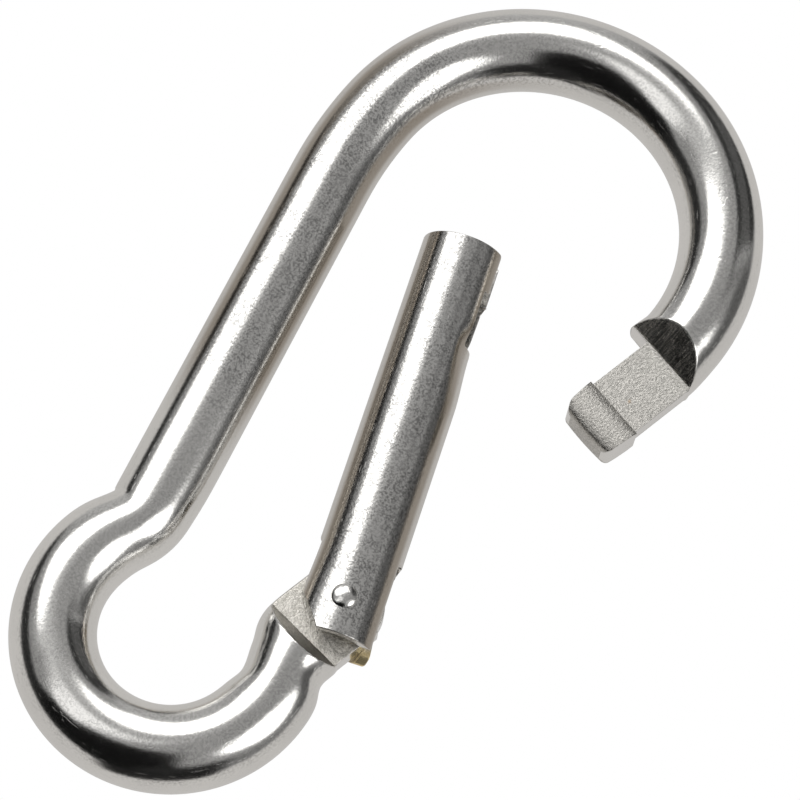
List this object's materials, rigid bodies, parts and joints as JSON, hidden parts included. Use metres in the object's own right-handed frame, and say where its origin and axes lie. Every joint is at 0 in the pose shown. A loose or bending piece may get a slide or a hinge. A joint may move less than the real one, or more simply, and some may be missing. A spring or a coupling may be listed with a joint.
{
  "type": "spring-gate snap hook",
  "caption": "Asymmetric snap hook bent from round bar, with a small eye, a wide bow and a spring-loaded tubular gate riveted to the hinge plate.",
  "frame": {"origin": "centre of the small eye, in the middle plane of the bar", "axes": "+Z from the small eye's centre to the crown's centre, +X towards the gate's side, -Y is the front face; the hook lies in the X-Z plane"},
  "size_m": [0.0604, 0.0116, 0.1211],
  "materials": {
    "hook_steel": "polished stainless steel, satin on the forged nose and hinge plate",
    "gate_steel": "polished stainless steel sheet with fine pitting",
    "rivet_steel": "polished stainless steel, peened heads",
    "spring_steel": "drawn stainless spring wire",
    "plunger_brass": "turned brass"
  },
  "bodies": {
    "hook": {"hook_body": "hook_steel"},
    "gate": {"gate_sleeve": "gate_steel", "hinge_rivet": "rivet_steel", "return_spring": "spring_steel"},
    "plunger": {"spring_plunger": "plunger_brass"}
  },
  "joints": [
    {"name": "gate_hinge", "type": "hinge", "parent": "hook", "child": "gate", "pos_m": [0.014, 0, 0.016], "axis": [0, -1, 0], "range_deg": [-33, 9.5]},
    {"name": "plunger_slide", "type": "slide", "parent": "gate", "child": "plunger", "axis": [-0.3673, 0, 0.9301], "range_m": [-0.00156, 0.00046], "deforming": ["return_spring"]}
  ],
  "couplings": [
    {"joint": "plunger_slide", "follows": "gate_hinge", "m_per_rad": 0.0027}
  ]
}
